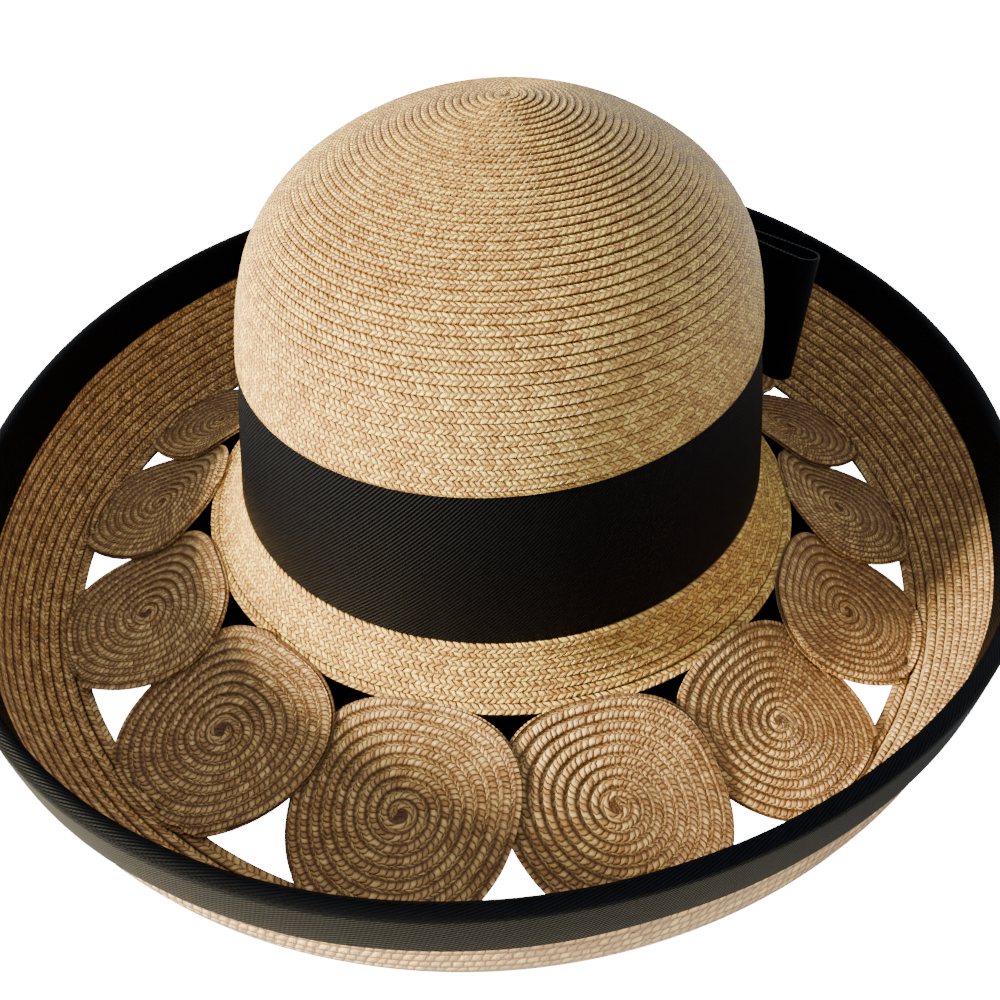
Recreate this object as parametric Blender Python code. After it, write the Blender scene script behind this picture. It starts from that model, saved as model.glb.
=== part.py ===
# Straw hat: domed crown, ribbon band and bow, a ring of coiled medallions and a turned-up, bound brim.
# Metres, +Z up, the front at -Y. The hat rests on the flat ring under its outer brim, at z = 0.
import math

import bmesh
import bpy
from mathutils import Matrix, Vector

# Walls and clearances
STRAW = 0.0018
RIBBON = 0.001
SEAM_GAP = 0.0003
MEDALLION_GAP = 0.0007

# Head opening and crown
HEAD_LENGTH = 0.1924
HEAD_WIDTH = 0.166
FOOT_HEIGHT = 0.038
CROWN_HEIGHT = 0.107
CROWN_LEAN = -0.0038
BAND_HEIGHT = 0.0474

# Horizontal reach of the rim beyond the head opening
REACH_FRONT = 0.0806
REACH_SIDE = 0.0703
REACH_BACK = 0.070

# Brim: height of the rim's crest above the ground, flat of the trough, ribbon folded over the rim
RIM_HEIGHT = 0.0568
TROUGH_FLAT = 0.003
BINDING_WIDTH = 0.0145

# Medallions: number, place of the first one, how far they lap and lie out, and how square they are
MEDALLIONS = 15
FIRST_SHARE = 0.010
FRONT_SPREAD = 0.07
SIDE_LAP = 0.0026
EDGE_LAP = 0.0041
OUTWARD_SHIFT = 0.0025
SQUARENESS = 2.3
LOWEST_MEDALLION = 2

# Bow: its place round the band, and the size of its loops and knot
BOW_AZIMUTH = math.radians(150)
LOOP_LENGTH = 0.057
LOOP_DEPTH = 0.009
LOOP_HEIGHT = 0.0455
KNOT_WIDTH = 0.019
KNOT_DEPTH = 0.0085
KNOT_HEIGHT = 0.040
BOW_LIFT = 0.02725

# Facets
CROWN_SECTORS = 44
BRIM_SECTORS = 56
SPOKES = 28
RING_SHARES = (0.55, 1.0)
BINDING_STEPS = 4
KNOT_CORNERS = 12
LOOP_STEPS = 6

# Dome rings: shares of the height above the band, of the head's width and of the head's length
CROWN_RINGS = (
    # height, width, length
    (0.000, 0.905, 0.993),
    (0.125, 0.892, 0.979),
    (0.286, 0.866, 0.949),
    (0.447, 0.820, 0.899),
    (0.608, 0.729, 0.802),
    (0.732, 0.612, 0.673),
    (0.839, 0.468, 0.515),
    (0.929, 0.288, 0.317),
    (0.978, 0.142, 0.156),
)

# Inner brim, from the crown's foot to its outer edge: shares of its reach and of its drop
INNER_STEPS = (
    # out, down
    (0.00, 0.00),
    (0.10, 0.25),
    (0.28, 0.54),
    (0.60, 0.83),
    (1.00, 1.00),
)

# Stations of the brim: shares of the reach in front, at the sides and behind, and of the foot's height
INNER_EDGE = (0.0856, 0.196, 0.137, 0.493)
MEDALLION_LINE = (0.356, 0.475, 0.500, 0.178)
OUTER_START = (0.664, 0.764, 0.862, 0.0)

# Outer brim above the trough's flat: shares of its run to the rim and of its rise
OUTER_STEPS = (
    # out, up
    (0.14, 0.030),
    (0.45, 0.160),
    (0.75, 0.390),
    (0.88, 0.580),
    (0.96, 0.800),
    (1.00, 1.000),
)

# Knot of the bow, from its foot to its top: share of its height from the middle, share of its width
KNOT_LEVELS = (
    # level, width
    (-0.50, 0.80),
    (-0.42, 0.96),
    (0.00, 1.00),
    (0.42, 0.96),
    (0.50, 0.80),
)

# Wave of the rim: azimuth in degrees from the front, share of the rim's height
RIM_WAVE = (
    # azimuth, height
    (0, 0.976),
    (45, 1.092),
    (90, 0.947),
    (135, 1.069),
    (180, 1.177),
    (225, 1.012),
    (270, 0.905),
    (315, 0.831),
)


def clear_scene():
    for old in list(bpy.data.objects):
        bpy.data.objects.remove(old, do_unlink=True)


def make_material(name, colour, roughness):
    material = bpy.data.materials.new(name)
    material.use_nodes = True
    shader = material.node_tree.nodes["Principled BSDF"]
    shader.inputs["Base Color"].default_value = (*colour, 1.0)
    shader.inputs["Roughness"].default_value = roughness
    shader.inputs["Metallic"].default_value = 0.0
    return material


def add_piece(name, mesh_data, collection, material, smooth_angle=40):
    mesh = bpy.data.meshes.new(name)
    bmesh.ops.recalc_face_normals(mesh_data, faces=mesh_data.faces)
    mesh_data.to_mesh(mesh)
    mesh_data.free()
    mesh.materials.append(material)
    mesh.shade_smooth()
    mesh.set_sharp_from_angle(angle=math.radians(smooth_angle))
    piece = bpy.data.objects.new(name, mesh)
    collection.objects.link(piece)
    return piece


def loft(rings, first_pole=None, last_pole=None, closed=False):
    # Rings of points joined by quads; a pole closes an end, and closed joins the last ring to the first.
    data = bmesh.new()
    rows = [[data.verts.new(point) for point in ring] for ring in rings]
    pairs = list(zip(rows, rows[1:]))
    if closed:
        pairs.append((rows[-1], rows[0]))
    for low, high in pairs:
        for i in range(len(low)):
            j = (i + 1) % len(low)
            data.faces.new((low[i], low[j], high[j], high[i]))
    for pole, row in ((first_pole, rows[0]), (last_pole, rows[-1])):
        if pole is not None:
            tip = data.verts.new(pole)
            for i in range(len(row)):
                data.faces.new((tip, row[i], row[(i + 1) % len(row)]))
    return data


def azimuths(count):
    return [2 * math.pi * i / count for i in range(count)]


def oval_point(azimuth, half_width, half_length, z, shift=0.0):
    return Vector((shift + half_width * math.sin(azimuth), -half_length * math.cos(azimuth), z))


def outward(azimuth):
    normal = Vector((math.sin(azimuth) / HEAD_WIDTH, -math.cos(azimuth) / HEAD_LENGTH, 0.0))
    return normal.normalized()


def brim_point(azimuth, out, z):
    foot = oval_point(azimuth, HEAD_WIDTH / 2, HEAD_LENGTH / 2, 0.0)
    return foot + outward(azimuth) * out + Vector((0.0, 0.0, z))


def around(azimuth, front, side, back):
    c = math.cos(azimuth)
    ends = (front + back) / 2 + (front - back) / 2 * c
    return side * math.sin(azimuth) ** 2 + ends * c * c


def reach(azimuth):
    return around(azimuth, REACH_FRONT, REACH_SIDE, REACH_BACK)


def station(azimuth, shares):
    front, side, back, height = shares
    out = around(azimuth, front * REACH_FRONT, side * REACH_SIDE, back * REACH_BACK)
    return out, height * FOOT_HEIGHT


def rim_crest(azimuth):
    # Smooth closed curve through the rows of RIM_WAVE.
    count = len(RIM_WAVE)
    place = (math.degrees(azimuth) % 360.0) / 360.0 * count
    i = int(place) % count
    f = place - int(place)
    before, here, after, beyond = (RIM_WAVE[(i + k) % count][1] for k in (-1, 0, 1, 2))
    share = here + 0.5 * f * (after - before + f * (
        2 * before - 5 * here + 4 * after - beyond + f * (3 * (here - after) + beyond - before)))
    return share * RIM_HEIGHT


def offset_line(line, distance):
    # The line moved sideways by distance, to its left, with mitred corners.
    normals = []
    for (x0, z0), (x1, z1) in zip(line, line[1:]):
        length = math.hypot(x1 - x0, z1 - z0)
        normals.append(((z0 - z1) / length, (x1 - x0) / length))
    moved = []
    for i, (x, z) in enumerate(line):
        before = normals[max(i - 1, 0)]
        after = normals[min(i, len(normals) - 1)]
        nx, nz = before[0] + after[0], before[1] + after[1]
        scale = distance / (1 + before[0] * after[0] + before[1] * after[1])
        moved.append((x + nx * scale, z + nz * scale))
    return moved


def inner_line(azimuth):
    # Upper side of the inner brim, from under the crown's wall to its outer edge.
    edge_out, edge_z = station(azimuth, INNER_EDGE)
    top = FOOT_HEIGHT - SEAM_GAP
    line = [(-2 * (RIBBON + STRAW), top)]
    line += [(out * edge_out, top + down * (edge_z - top)) for out, down in INNER_STEPS]
    return line


def outer_line(azimuth):
    # Upper side of the outer brim, from its inner edge over the trough to the rim under the binding.
    start, ground = station(azimuth, OUTER_START)
    top = ground + STRAW
    foot = start + TROUGH_FLAT
    run = reach(azimuth) - foot
    rise = rim_crest(azimuth) - RIBBON - SEAM_GAP - top
    line = [(start, top), (foot, top)]
    line += [(foot + out * run, top + up * rise) for out, up in OUTER_STEPS]
    return line


def medallion_line(azimuth):
    # Upper side that the medallions lie on: the inner brim's edge, the open middle, the trough and its slope.
    return inner_line(azimuth)[-3:] + [station(azimuth, MEDALLION_LINE)] + outer_line(azimuth)[:4]


def ring_solid(name, line_at, thickness, collection, material, lift=0.0):
    # A wall of one thickness under a line that goes round the hat.
    sections = []
    for azimuth in azimuths(BRIM_SECTORS):
        line = line_at(azimuth)
        top = offset_line(line, lift)
        below = offset_line(line, lift - thickness)
        sections.append([brim_point(azimuth, out, z) for out, z in top + below[::-1]])
    return add_piece(name, loft(sections, closed=True), collection, material)


def crown_rings():
    # Outer rings of the dome, from the lip over the band up to the last ring before the apex.
    dome = CROWN_HEIGHT - BAND_HEIGHT
    return [(BAND_HEIGHT + share * dome, width * HEAD_WIDTH / 2, length * HEAD_LENGTH / 2)
            for share, width, length in CROWN_RINGS]


def lean(height):
    return CROWN_LEAN * (height / CROWN_HEIGHT) ** 2


def band_point(azimuth, height, inset=0.0):
    # Point of the band's outer face at a height above the foot, moved in by inset.
    _, lip_width, lip_length = crown_rings()[0]
    share = height / BAND_HEIGHT
    half_width = HEAD_WIDTH / 2 + (lip_width - HEAD_WIDTH / 2) * share - inset
    half_length = HEAD_LENGTH / 2 + (lip_length - HEAD_LENGTH / 2) * share - inset
    return oval_point(azimuth, half_width, half_length, FOOT_HEIGHT + height, lean(height))


def band_ring(height, inset):
    return [band_point(azimuth, height, inset) for azimuth in azimuths(CROWN_SECTORS)]


def build_crown(collection, material):
    dome = crown_rings()
    side = [(width, height) for height, width, length in dome] + [(0.0, CROWN_HEIGHT)]
    inner_side = offset_line(side, STRAW)
    rings = []
    for (height, width, length), (inner_width, inner_height) in reversed(list(zip(dome, inner_side))):
        inset = width - inner_width
        rings.append([oval_point(azimuth, inner_width, length - inset, FOOT_HEIGHT + inner_height,
                                 lean(inner_height)) for azimuth in azimuths(CROWN_SECTORS)])
    wall_inset = RIBBON + SEAM_GAP
    rings.append(band_ring(0.0, wall_inset + STRAW))
    rings.append(band_ring(0.0, wall_inset))
    rings.append(band_ring(BAND_HEIGHT, wall_inset))
    for height, width, length in dome:
        rings.append([oval_point(azimuth, width, length, FOOT_HEIGHT + height, lean(height))
                      for azimuth in azimuths(CROWN_SECTORS)])
    apex = Vector((CROWN_LEAN, 0.0, FOOT_HEIGHT + CROWN_HEIGHT))
    under_apex = apex - Vector((0.0, 0.0, STRAW))
    return add_piece("crown", loft(rings, under_apex, apex), collection, material)


def build_band(collection, material):
    low = SEAM_GAP
    high = BAND_HEIGHT - SEAM_GAP
    middle = (low + high) / 2
    rings = [band_ring(height, 0.0) for height in (low, middle, high)]
    rings += [band_ring(height, RIBBON) for height in (high, middle, low)]
    return add_piece("hat_band", loft(rings, closed=True), collection, material)


def build_binding(collection, material):
    # Ribbon folded over the rim: down the inner side, over the edge and down the outer side.
    sections = []
    for azimuth in azimuths(BRIM_SECTORS):
        top = outer_line(azimuth)
        below = offset_line(top, -STRAW)
        inner = tail_of(top, BINDING_WIDTH)
        outer = tail_of(below, BINDING_WIDTH)
        near = offset_line(inner, SEAM_GAP) + offset_line(outer, -SEAM_GAP)[::-1]
        far = offset_line(inner, SEAM_GAP + RIBBON) + offset_line(outer, -SEAM_GAP - RIBBON)[::-1]
        half = len(inner)
        near = with_fold(near, half, SEAM_GAP)
        far = with_fold(far, half, SEAM_GAP + RIBBON)
        sections.append([brim_point(azimuth, out, z) for out, z in far + near[::-1]])
    return add_piece("brim_binding", loft(sections, closed=True), collection, material)


def with_fold(line, half, lift):
    # The two sides of the fold, raised by lift at the edge between them.
    (x0, z0), (x1, z1) = line[half - 1], line[half]
    crest_z = max(z0, z1) + lift
    return line[:half] + [(x0, crest_z), (x1, crest_z)] + line[half:]


def lengths_along(line):
    total = [0.0]
    for (x0, z0), (x1, z1) in zip(line, line[1:]):
        total.append(total[-1] + math.hypot(x1 - x0, z1 - z0))
    return total


def point_along(line, marks, place):
    # The point of a line where the lengths in marks reach place.
    i = max(k for k in range(len(marks) - 1) if marks[k] <= place)
    share = (place - marks[i]) / (marks[i + 1] - marks[i])
    (x0, z0), (x1, z1) = line[i], line[i + 1]
    return x0 + (x1 - x0) * share, z0 + (z1 - z0) * share


def tail_of(line, length):
    # Points evenly spaced over the last stretch of a line, of the given length.
    marks = lengths_along(line)
    start = marks[-1] - length
    return [point_along(line, marks, start + length * k / BINDING_STEPS) for k in range(BINDING_STEPS + 1)]


def lap_point(azimuth, across, lift):
    # A point of the medallions' layer: across is its distance out from the ring's middle line.
    line = medallion_line(azimuth)
    raised = offset_line(line, lift)
    marks = lengths_along(line)
    middle = (marks[2] + marks[4]) / 2
    place = min(max(middle + across, 0.0), marks[-1])
    out, z = point_along(raised, marks, place)
    return brim_point(azimuth, out, z)


def half_depth(azimuth):
    marks = lengths_along(medallion_line(azimuth))
    return (marks[4] - marks[2]) / 2 + EDGE_LAP


def medallion_azimuths():
    # Centres by distance round the ring's middle line, a little wider apart in front.
    steps = 720
    walk = [lap_point(2 * math.pi * i / steps, 0.0, 0.0) for i in range(steps + 1)]
    marks = [0.0]
    for a, b in zip(walk, walk[1:]):
        marks.append(marks[-1] + (b - a).length)
    centres = []
    for k in range(MEDALLIONS):
        turn = 2 * math.pi * k / MEDALLIONS
        share = FIRST_SHARE + k / MEDALLIONS + FRONT_SPREAD * math.sin(turn) / (2 * math.pi)
        wanted = (share % 1.0) * marks[-1]
        i = max(j for j in range(steps) if marks[j] <= wanted)
        part = (wanted - marks[i]) / (marks[i + 1] - marks[i])
        centres.append(2 * math.pi * (i + part) / steps)
    return centres


def metres_per_radian(azimuth, across):
    step = 0.01
    a = lap_point(azimuth - step, across, 0.0)
    b = lap_point(azimuth + step, across, 0.0)
    return (b - a).length / (2 * step)


class Medallion:
    # One coiled disc: its centre, its half sizes and the neighbours that lap over its edges.
    def __init__(self, centre, pitch):
        self.centre = centre
        self.half_span = pitch / 2 + SIDE_LAP
        self.half_depth = half_depth(centre)
        self.over = []

    def half_angle(self, across):
        share = min(abs(across - OUTWARD_SHIFT) / self.half_depth, 1.0)
        width = self.half_span * (1 - share ** SQUARENESS) ** (1 / SQUARENESS)
        return width / metres_per_radian(self.centre, across)

    def place(self, share, angle):
        # Azimuth and distance out of a point at a share of the rounded square's radius.
        c, s = math.cos(angle), math.sin(angle)
        power = 2 / SQUARENESS
        along = share * self.half_span * math.copysign(abs(c) ** power, c)
        across = OUTWARD_SHIFT + share * self.half_depth * math.copysign(abs(s) ** power, s)
        return self.centre + along / metres_per_radian(self.centre, across), across

    def is_free(self, share, angle):
        azimuth, across = self.place(share, angle)
        gap = MEDALLION_GAP / metres_per_radian(self.centre, across)
        for side, other_centre, other in self.over:
            if side * (azimuth - other_centre) > -other.half_angle(across) - gap:
                return False
        return True

    def edge_share(self, angle):
        low, high = 0.0, 1.0
        if self.is_free(high, angle):
            return high
        for _ in range(24):
            middle = (low + high) / 2
            if self.is_free(middle, angle):
                low = middle
            else:
                high = middle
        return low


def arrange_medallions():
    centres = medallion_azimuths()
    count = len(centres)
    turn = 2 * math.pi
    pitches = []
    for k in range(count):
        span = (centres[(k + 1) % count] - centres[k - 1]) % turn
        pitches.append(span / 2 * metres_per_radian(centres[k], 0.0))
    rows = [Medallion(centre, pitch) for centre, pitch in zip(centres, pitches)]
    rank = [min((k - LOWEST_MEDALLION) % count, (LOWEST_MEDALLION - k) % count) for k in range(count)]
    for k, row in enumerate(rows):
        after, before = (k + 1) % count, k - 1
        if (rank[after], after) > (rank[k], k):
            step = (centres[after] - centres[k]) % turn
            row.over.append((1, centres[k] + step, rows[after]))
        if (rank[before], before % count) > (rank[k], k):
            step = (centres[k] - centres[before]) % turn
            row.over.append((-1, centres[k] - step, rows[before]))
    return rows


def build_medallion(name, disc, collection, material):
    angles = azimuths(SPOKES)
    edges = [disc.edge_share(angle) for angle in angles]
    layers = []
    for lift in (SEAM_GAP + STRAW, SEAM_GAP):
        rings = []
        for share in RING_SHARES:
            spots = [disc.place(share * edge, angle) for edge, angle in zip(edges, angles)]
            rings.append([lap_point(azimuth, across, lift) for azimuth, across in spots])
        layers.append((rings, lap_point(disc.centre, OUTWARD_SHIFT, lift)))
    (upper, upper_pole), (lower, lower_pole) = layers
    data = loft(upper + lower[::-1], upper_pole, lower_pole)
    return add_piece(name, data, collection, material)


def strip(path, half_heights, thickness):
    # A ribbon on its edge along a path of (place, sideways direction), with flat ends.
    sections = []
    for (centre, sideways), half in zip(path, half_heights):
        up = Vector((0.0, 0.0, half))
        side = sideways * thickness / 2
        sections.append([centre - side - up, centre + side - up, centre + side + up, centre - side + up])
    data = bmesh.new()
    rows = [[data.verts.new(point) for point in ring] for ring in sections]
    for low, high in zip(rows, rows[1:]):
        for i in range(4):
            j = (i + 1) % 4
            data.faces.new((low[i], low[j], high[j], high[i]))
    data.faces.new(rows[0])
    data.faces.new(rows[-1])
    return data


def bow_directions():
    # Direction along the bow's loops, and the direction out from the band.
    out = outward(BOW_AZIMUTH)
    return Vector((-out.y, out.x, 0.0)), out


def knot_centre(height):
    # Middle of the knot at a height above the foot, with its back close to the band.
    out = outward(BOW_AZIMUTH)
    base = band_point(BOW_AZIMUTH, BOW_LIFT)
    lift = Vector((0.0, 0.0, height - BOW_LIFT))
    towards = (band_point(BOW_AZIMUTH, height) - base).dot(out)
    return base + lift + out * (towards + SEAM_GAP + KNOT_DEPTH / 2)


def build_loop(name, side, collection, material):
    along, out = bow_directions()
    start = KNOT_WIDTH / 2 + SEAM_GAP
    turn_radius = LOOP_DEPTH / 2 - RIBBON / 2
    straight = LOOP_LENGTH - start - LOOP_DEPTH / 2
    pinch = (KNOT_DEPTH - 3 * RIBBON) / 2
    flat = [(start + straight * i / LOOP_STEPS, i / LOOP_STEPS) for i in range(LOOP_STEPS + 1)]
    points = []
    for reach_out, share in flat:
        points.append((reach_out, -(pinch + (turn_radius - pinch) * share)))
    for i in range(1, LOOP_STEPS):
        angle = -math.pi / 2 + math.pi * i / LOOP_STEPS
        points.append((start + straight + turn_radius * math.cos(angle), turn_radius * math.sin(angle)))
    for reach_out, share in reversed(flat):
        points.append((reach_out, pinch + (turn_radius - pinch) * share))
    middle = knot_centre(BOW_LIFT)
    centres = [middle + along * side * x + out * y for x, y in points]
    path = []
    for i, centre in enumerate(centres):
        tangent = (centres[min(i + 1, len(centres) - 1)] - centres[max(i - 1, 0)]).normalized()
        path.append((centre, Vector((tangent.y, -tangent.x, 0.0))))
    halves = []
    for x, y in points:
        share = min(max((x - start) / straight, 0.0), 1.0)
        halves.append((KNOT_HEIGHT + (LOOP_HEIGHT - KNOT_HEIGHT) * share ** 0.5) / 2)
    return add_piece(name, strip(path, halves, RIBBON), collection, material)


def build_knot(collection, material):
    along, out = bow_directions()
    rings = []
    for level, width in KNOT_LEVELS:
        centre = knot_centre(BOW_LIFT + level * KNOT_HEIGHT)
        ring = []
        for angle in azimuths(KNOT_CORNERS):
            c, s = math.cos(angle), math.sin(angle)
            x = KNOT_WIDTH / 2 * width * math.copysign(abs(c) ** 0.5, c)
            y = KNOT_DEPTH / 2 * width * math.copysign(abs(s) ** 0.5, s)
            ring.append(centre + along * x + out * y)
        rings.append(ring)
    low = sum(rings[0], Vector()) / KNOT_CORNERS
    high = sum(rings[-1], Vector()) / KNOT_CORNERS
    return add_piece("bow_knot", loft(rings, low, high), collection, material)


def centre_over_origin(pieces):
    # The rim reaches further in front than behind, so the hat is moved to stand centred on the origin.
    corners = [vertex.co for piece in pieces for vertex in piece.data.vertices]
    shift = Vector((0.0, 0.0, 0.0))
    for axis in (0, 1):
        values = [corner[axis] for corner in corners]
        shift[axis] = -(min(values) + max(values)) / 2
    for piece in pieces:
        piece.data.transform(Matrix.Translation(shift))


def build_hat():
    clear_scene()
    hat = bpy.data.collections.new("straw_hat")
    bpy.context.scene.collection.children.link(hat)
    straw = make_material("straw_braid", (0.46, 0.29, 0.15), 0.6)
    ribbon = make_material("grosgrain_ribbon", (0.012, 0.013, 0.018), 0.55)
    build_crown(hat, straw)
    build_band(hat, ribbon)
    ring_solid("inner_brim", inner_line, STRAW, hat, straw)
    ring_solid("outer_brim", outer_line, STRAW, hat, straw)
    for number, disc in enumerate(arrange_medallions(), start=1):
        build_medallion("medallion_%02d" % number, disc, hat, straw)
    build_binding(hat, ribbon)
    build_loop("bow_loop_left", 1, hat, ribbon)
    build_loop("bow_loop_right", -1, hat, ribbon)
    build_knot(hat, ribbon)
    centre_over_origin(hat.objects)


build_hat()
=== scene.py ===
# Straw hat: spiral-sewn braid crown, ribbon band and bow, coiled discs let into the brim, bound rim.
import bmesh
import bpy
import math
import numpy as np
from mathutils import Matrix, Vector


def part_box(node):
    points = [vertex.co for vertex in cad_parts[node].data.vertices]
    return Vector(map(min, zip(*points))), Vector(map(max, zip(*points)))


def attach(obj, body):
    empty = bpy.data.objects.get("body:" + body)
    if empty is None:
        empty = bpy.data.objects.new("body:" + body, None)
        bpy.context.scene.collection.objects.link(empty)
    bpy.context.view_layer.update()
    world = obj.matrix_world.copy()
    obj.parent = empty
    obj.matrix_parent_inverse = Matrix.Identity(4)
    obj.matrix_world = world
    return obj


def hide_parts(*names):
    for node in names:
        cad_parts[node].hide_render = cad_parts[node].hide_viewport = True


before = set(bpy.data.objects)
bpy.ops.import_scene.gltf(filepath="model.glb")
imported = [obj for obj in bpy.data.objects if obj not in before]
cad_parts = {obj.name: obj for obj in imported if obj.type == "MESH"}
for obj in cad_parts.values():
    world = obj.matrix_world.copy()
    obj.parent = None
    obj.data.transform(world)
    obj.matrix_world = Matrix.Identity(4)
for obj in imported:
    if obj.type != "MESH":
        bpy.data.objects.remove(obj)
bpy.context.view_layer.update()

# Sizes of the hat, in metres
hat = {
    "length": 0.1924,
    "width": 0.166,
    "foot": 0.038,
    "crownHeight": 0.107,
    "lean": -0.0038,
    "bandHeight": 0.0474,
    "reachFront": 0.0806,
    "reachSide": 0.0703,
    "reachBack": 0.070,
    "rimHeight": 0.0568,
    "straw": 0.0018,
    "ribbon": 0.001,
    "gap": 0.0003,
}
bandLow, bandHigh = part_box("hat_band")
headCentre = Vector(((bandLow.x + bandHigh.x) / 2, (bandLow.y + bandHigh.y) / 2, 0.0))


# Places on the hat

def smoothStep(low, high, value):
    share = min(max((value - low) / (high - low), 0.0), 1.0)
    return share * share * (3 - 2 * share)


def smoothRow(rows, place):
    # Catmull-Rom curve through rows of numbers, place counted in rows
    last = len(rows) - 1
    i = min(int(place), last - 1)
    f = place - i
    before, here, after, beyond = rows[max(i - 1, 0)], rows[i], rows[i + 1], rows[min(i + 2, last)]
    return [b + 0.5 * f * (c - a + f * (2 * a - 5 * b + 4 * c - d + f * (3 * (b - c) + d - a)))
            for a, b, c, d in zip(before, here, after, beyond)]


def smoothLine(rows, steps):
    # the same curve as a line of points evenly spaced by length
    dense = [smoothRow(rows, (len(rows) - 1) * i / (steps * 4)) for i in range(steps * 4 + 1)]
    return evenly(dense, steps)


def evenly(line, steps):
    line = np.array(line, float)
    lengths = runLengths(line[:, :2])
    wanted = np.linspace(0.0, lengths[-1], steps + 1)
    return np.stack([np.interp(wanted, lengths, line[:, k]) for k in range(line.shape[1])], axis=1)


def runLengths(points):
    return np.concatenate([[0.0], np.cumsum(np.linalg.norm(np.diff(points, axis=0), axis=1))])


def outward(azimuth):
    return Vector((math.sin(azimuth) / hat["width"], -math.cos(azimuth) / hat["length"], 0.0)).normalized()


def ovalPoint(azimuth, halfWidth, halfLength, z, shift=0.0):
    return headCentre + Vector((shift + halfWidth * math.sin(azimuth), -halfLength * math.cos(azimuth), z))


def brimPoint(azimuth, out, z):
    return ovalPoint(azimuth, hat["width"] / 2, hat["length"] / 2, z) + outward(azimuth) * out


def around(azimuth, front, side, back):
    c = math.cos(azimuth)
    return side * math.sin(azimuth) ** 2 + ((front + back) / 2 + (front - back) / 2 * c) * c * c


def station(azimuth, shares):
    front, side, back, height = shares
    return (around(azimuth, front * hat["reachFront"], side * hat["reachSide"], back * hat["reachBack"]),
            height * hat["foot"])


brim = {
    "innerSteps": ((0.0, 0.0), (0.10, 0.25), (0.28, 0.54), (0.60, 0.83), (1.0, 1.0)),
    "innerEdge": (0.0856, 0.196, 0.137, 0.493),
    "middle": (0.356, 0.475, 0.500, 0.178),
    "outerStart": (0.664, 0.764, 0.862, 0.0),
    "flat": 0.003,
    "outerSteps": ((0.14, 0.03), (0.45, 0.16), (0.75, 0.39), (0.88, 0.58), (0.96, 0.80), (1.0, 1.0)),
    "wave": (0.976, 1.092, 0.947, 1.069, 1.177, 1.012, 0.905, 0.831),
}


def rimCrest(azimuth):
    wave = brim["wave"]
    count = len(wave)
    place = (azimuth / (2 * math.pi) % 1.0) * count
    i = int(place) % count
    rows = [(wave[(i + k) % count],) for k in (-1, 0, 1, 2)]
    return smoothRow(rows, 1 + place - int(place))[0] * hat["rimHeight"]


def innerLine(azimuth):
    edgeOut, edgeHeight = station(azimuth, brim["innerEdge"])
    top = hat["foot"] - hat["gap"]
    line = [(-2 * (hat["ribbon"] + hat["straw"]), top)]
    return line + [(out * edgeOut, top + down * (edgeHeight - top)) for out, down in brim["innerSteps"]]


def outerLine(azimuth):
    start, ground = station(azimuth, brim["outerStart"])
    top = ground + hat["straw"]
    foot = start + brim["flat"]
    run = around(azimuth, hat["reachFront"], hat["reachSide"], hat["reachBack"]) - foot
    rise = rimCrest(azimuth) - hat["ribbon"] - hat["gap"] - top
    slope = [(foot + out * run, top + up * rise) for out, up in brim["outerSteps"]]
    return [(start, top), (foot, top)] + slope


# Meshes

def gridPiece(name, points, uv, heart=None):
    # a primitive grid whose points are moved to their places, points being [along][across] of places;
    # heart is the middle of a coil and the size of the hole to close there
    along, across = points.shape[0] - 1, points.shape[1] - 1
    bpy.ops.object.select_all(action="DESELECT")
    bpy.ops.mesh.primitive_grid_add(x_subdivisions=across, y_subdivisions=along, size=2)
    piece = bpy.context.object
    piece.name = piece.data.name = name
    mesh = piece.data
    flat = np.empty(len(mesh.vertices) * 3)
    mesh.vertices.foreach_get("co", flat)
    flat = flat.reshape(-1, 3)
    column = np.rint((flat[:, 0] + 1) / 2 * across).astype(int)
    row = np.rint((flat[:, 1] + 1) / 2 * along).astype(int)
    mesh.vertices.foreach_set("co", points[row, column].ravel())
    corners = np.empty(len(mesh.loops), int)
    mesh.loops.foreach_get("vertex_index", corners)
    faceRow = row[corners].reshape(-1, 4).min(axis=1).repeat(4)
    mesh.uv_layers.active.data.foreach_set("uv", uv(row[corners], column[corners], faceRow).ravel())
    bpy.ops.object.mode_set(mode="EDIT")
    bpy.ops.mesh.select_all(action="SELECT")
    bpy.ops.mesh.flip_normals()
    bpy.ops.mesh.remove_doubles(threshold=0.000002)
    if heart is not None:
        edges = bmesh.from_edit_mesh(mesh)
        bpy.ops.mesh.select_all(action="DESELECT")
        middle, reach = heart
        for edge in edges.edges:
            near = all((end.co - middle).length < reach for end in edge.verts)
            edge.select_set(edge.is_boundary and near)
        bpy.ops.mesh.edge_face_add()
    bpy.ops.object.mode_set(mode="OBJECT")
    mesh.update()
    return piece


def applyModifier(piece, kind, **values):
    bpy.ops.object.select_all(action="DESELECT")
    bpy.context.view_layer.objects.active = piece
    piece.select_set(True)
    modifier = piece.modifiers.new(kind.title(), kind)
    for key, value in values.items():
        setattr(modifier, key, value)
    bpy.ops.object.modifier_apply(modifier=modifier.name)


def finishPiece(piece, material, slot, *nodes, thickness=0.0, angle=60):
    if thickness:
        applyModifier(piece, "SOLIDIFY", thickness=thickness, offset=-1.0)
    bpy.ops.object.select_all(action="DESELECT")
    bpy.context.view_layer.objects.active = piece
    piece.select_set(True)
    bpy.ops.object.shade_smooth_by_angle(angle=math.radians(angle))
    piece.data.materials.clear()
    piece.data.materials.append(material)
    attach(piece, "root")
    if nodes:
        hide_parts(*nodes)
    print("made", piece.name, len(piece.data.polygons), "faces")
    return piece


# Rows of braid: cross-section of one row as (share across, height), depth of the relief and thickness of the
# straw
braid = {
    "section": ((0.0, 0.0), (0.20, 0.50), (0.62, 1.0), (0.92, 0.86)),
    "relief": 0.00065,
    "thickness": 0.0011,
}


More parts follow.
